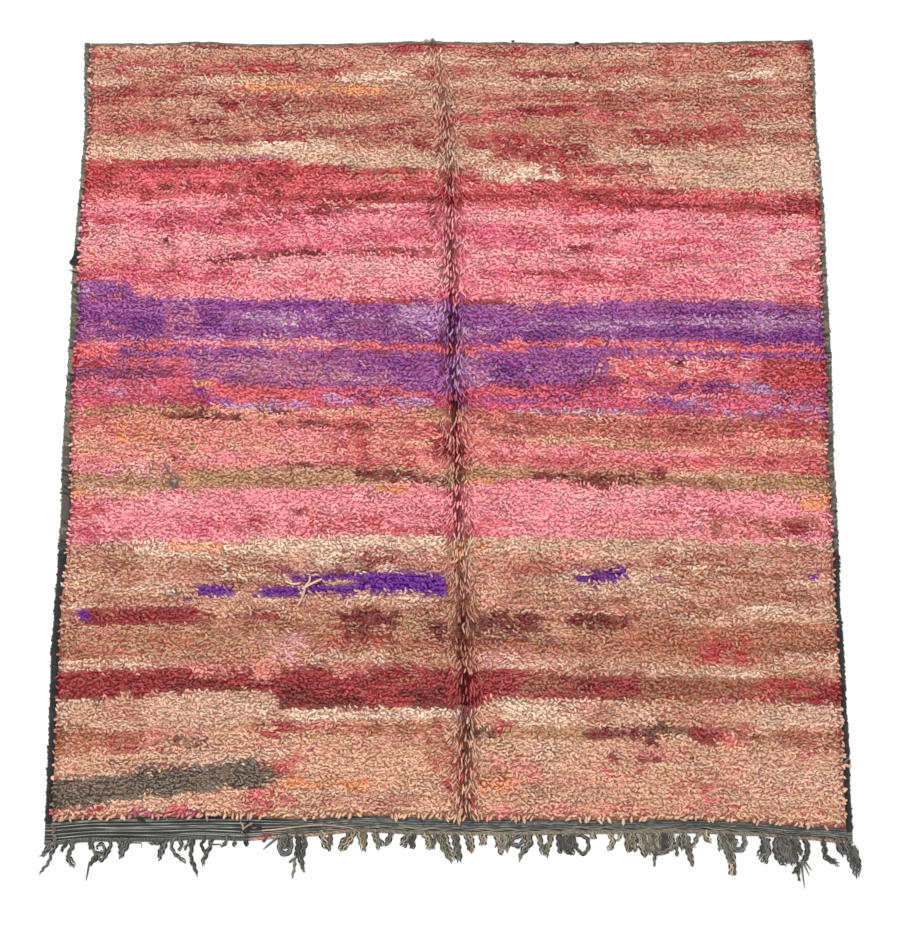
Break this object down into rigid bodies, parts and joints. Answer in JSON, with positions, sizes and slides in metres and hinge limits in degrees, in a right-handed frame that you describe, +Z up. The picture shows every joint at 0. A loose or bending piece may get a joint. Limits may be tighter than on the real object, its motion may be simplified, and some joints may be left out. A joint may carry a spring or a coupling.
{
  "type": "knotted pile rug",
  "caption": "Rectangular hand-knotted wool rug lying flat, with a thick pile, overcast sides, a woven end band and a knotted fringe at one end.",
  "frame": {"origin": "middle of the whole outline, fringe included, on the floor", "axes": "+X across the rug to the right as seen from the fringe, +Y along the rug away from the fringe, +Z up from the floor"},
  "size_m": [1.892, 2.069, 0.025],
  "materials": {
    "pile_wool": "thick matt wool pile in streaks of cream, peach, pink, crimson, purple and brown",
    "side_cord_yarn": "coarse dark goat-hair yarn, overcast",
    "band_yarn": "flat-woven dark grey yarn in heavy cords",
    "fringe_yarn": "plied olive-grey warp yarn, knotted"
  },
  "bodies": {
    "root": {"pile_field": "pile_wool", "side_cord_left": "side_cord_yarn", "side_cord_right": "side_cord_yarn", "top_edging": "side_cord_yarn", "end_band": "band_yarn", "fringe": "fringe_yarn"}
  },
  "joints": []
}
